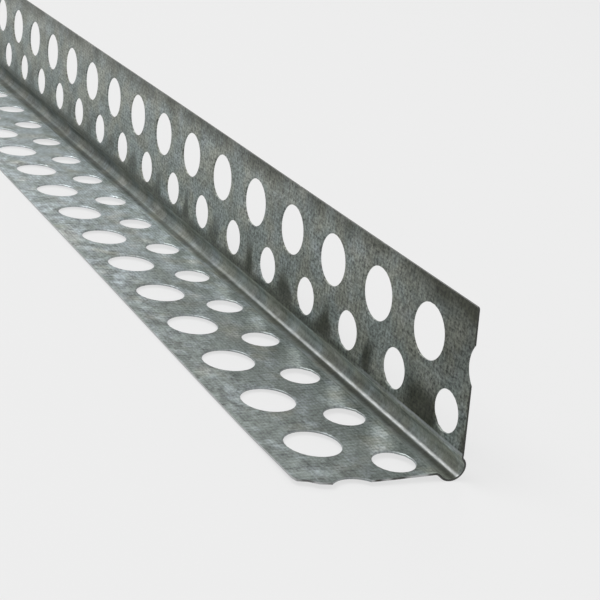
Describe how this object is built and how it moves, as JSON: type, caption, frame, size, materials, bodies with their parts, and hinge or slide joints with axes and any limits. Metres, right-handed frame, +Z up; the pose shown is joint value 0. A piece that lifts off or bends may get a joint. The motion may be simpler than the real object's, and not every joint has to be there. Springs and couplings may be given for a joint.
{
  "type": "drywall corner bead",
  "caption": "Galvanised steel corner bead: two perforated flanges at a right angle joined by a raised round nose, set over outside wallboard corners.",
  "frame": {"origin": "middle of the bounding box, on the floor the bead lies on", "axes": "+Y along the length to the front end that the picture shows, +X across the lower flange from the nose to its free edge, +Z up"},
  "size_m": [0.033, 2.4384, 0.0331],
  "materials": {
    "galvanised_steel": "dull galvanised, with fine roll marks"
  },
  "bodies": {
    "root": {"corner_bead": "galvanised_steel"}
  },
  "joints": []
}
